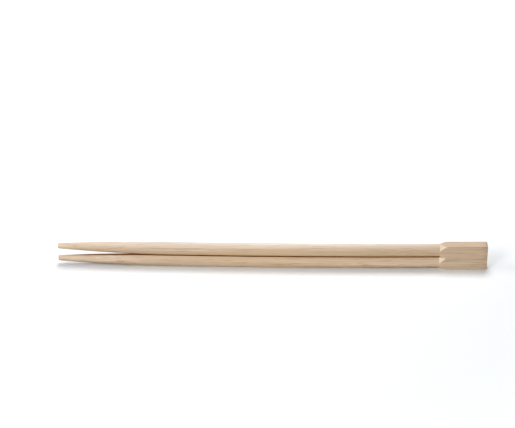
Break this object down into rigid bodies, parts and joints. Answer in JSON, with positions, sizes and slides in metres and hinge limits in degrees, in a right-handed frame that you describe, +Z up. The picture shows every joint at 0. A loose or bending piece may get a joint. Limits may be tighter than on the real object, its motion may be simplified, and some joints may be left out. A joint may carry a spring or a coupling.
{
  "type": "twin bamboo chopsticks",
  "caption": "Disposable bamboo chopsticks, milled from one strip as slim tapered sticks still joined at a square head, to be snapped apart before eating.",
  "frame": {"origin": "on the standing surface, under the middle of the pair's length, the pair on its narrow edge", "axes": "+X from the tips to the head, +Y through the thickness of the strip, +Z up across the pair"},
  "size_m": [0.21, 0.006, 0.0137],
  "materials": {
    "bamboo": "plain sanded bamboo, matte to satin, with fine fibres along its length"
  },
  "bodies": {
    "root": {"twin_chopsticks": "bamboo"}
  },
  "joints": []
}
